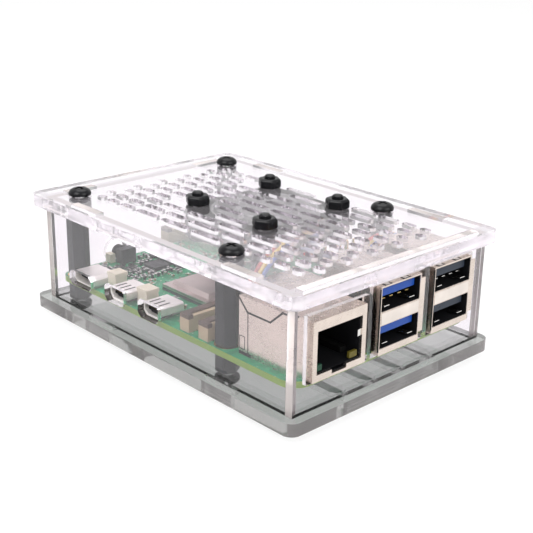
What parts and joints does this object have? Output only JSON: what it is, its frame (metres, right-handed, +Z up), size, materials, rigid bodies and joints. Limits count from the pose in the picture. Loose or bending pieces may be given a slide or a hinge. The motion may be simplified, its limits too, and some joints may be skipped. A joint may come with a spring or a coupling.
{
  "type": "single board computer case",
  "caption": "Clear laser-cut sheet case on black spacers round a small single board computer, with a black fan under its slotted top plate.",
  "frame": {"origin": "under the middle of the two plates, on the undersides of the lower screw heads", "axes": "+X along the board towards the network socket, +Y across it towards the pin header, +Z up"},
  "size_m": [0.096, 0.067, 0.0357],
  "materials": {
    "clear_sheet": "clear, polished faces, brighter cut edges",
    "screw_black": "satin black, moulded",
    "spacer_black": "satin black, moulded",
    "fan_plastic": "satin black",
    "board_laminate": "green lacquer, satin",
    "socket_metal": "tinned sheet, satin",
    "socket_black": "matt moulded",
    "socket_blue": "satin moulded",
    "socket_grey": "satin moulded",
    "header_cream": "matt moulded",
    "ribbon_tan": "matt moulded",
    "latch_brown": "satin moulded",
    "lid_metal": "satin plated",
    "chip_black": "matt moulded",
    "coil_grey": "matt ferrite",
    "pin_gold": "gold flashed",
    "lamp_green": "translucent",
    "lamp_yellow": "translucent",
    "lead_black": "satin insulation",
    "lead_red": "satin insulation",
    "lead_yellow": "satin insulation",
    "lead_blue": "satin insulation"
  },
  "bodies": {
    "case": {"bottom_plate": "clear_sheet", "top_plate": "clear_sheet", "front_wall": "clear_sheet", "back_wall": "clear_sheet", "right_wall": "clear_sheet", "left_wall": "clear_sheet", "lower_standoffs": "spacer_black", "upper_standoffs": "spacer_black", "top_screws": "screw_black", "bottom_screws": "screw_black", "fan_screws": "screw_black", "fan_nuts": "screw_black", "fan_frame": "fan_plastic", "circuit_board": "board_laminate", "network_socket_shell": "socket_metal", "network_contact_carrier": "socket_black", "network_lamp_green": "lamp_green", "network_lamp_yellow": "lamp_yellow", "blue_socket_shell": "socket_metal", "blue_socket_tongues": "socket_blue", "black_socket_shell": "socket_metal", "black_socket_tongues": "socket_grey", "power_inlet": "socket_metal", "power_inlet_tongue": "socket_black", "video_socket_left": "socket_metal", "video_socket_right": "socket_metal", "battery_header": "header_cream", "serial_header": "header_cream", "camera_connector_left": "ribbon_tan", "camera_connector_right": "ribbon_tan", "expansion_connector": "ribbon_tan", "processor_base": "chip_black", "processor_lid": "lid_metal", "memory_chip": "chip_black", "bridge_chip": "chip_black", "network_chip": "chip_black", "power_chip": "chip_black", "radio_shield": "socket_metal", "power_coils": "coil_grey", "pin_header_base": "socket_black", "header_pins": "pin_gold", "fan_header": "header_cream", "fan_plug": "header_cream", "card_slot": "socket_metal", "power_switch": "socket_metal", "status_lamp": "header_cream", "fan_lead_black": "lead_black", "fan_lead_red": "lead_red", "fan_lead_yellow": "lead_yellow", "fan_lead_blue": "lead_blue"},
    "rotor": {"fan_rotor": "fan_plastic"},
    "button": {"power_button": "socket_black"},
    "left_camera_latch": {"camera_connector_left_latch": "latch_brown"},
    "right_camera_latch": {"camera_connector_right_latch": "latch_brown"},
    "expansion_latch": {"expansion_connector_latch": "latch_brown"}
  },
  "joints": [
    {"name": "fan_spin", "type": "hinge", "parent": "case", "child": "rotor", "pos_m": [-0.0006, 0.0048, 0.026], "axis": [0, 0, 1], "continuous": true},
    {"name": "power_press", "type": "slide", "parent": "case", "child": "button", "axis": [1, 0, 0], "range_m": [0, 0.0004], "stiffness_N_per_m": 300},
    {"name": "left_camera_latch_lift", "type": "slide", "parent": "case", "child": "left_camera_latch", "axis": [0, 0, 1], "range_m": [0, 0.001]},
    {"name": "right_camera_latch_lift", "type": "slide", "parent": "case", "child": "right_camera_latch", "axis": [0, 0, 1], "range_m": [0, 0.001]},
    {"name": "expansion_latch_lift", "type": "slide", "parent": "case", "child": "expansion_latch", "axis": [0, 0, 1], "range_m": [0, 0.001]}
  ]
}
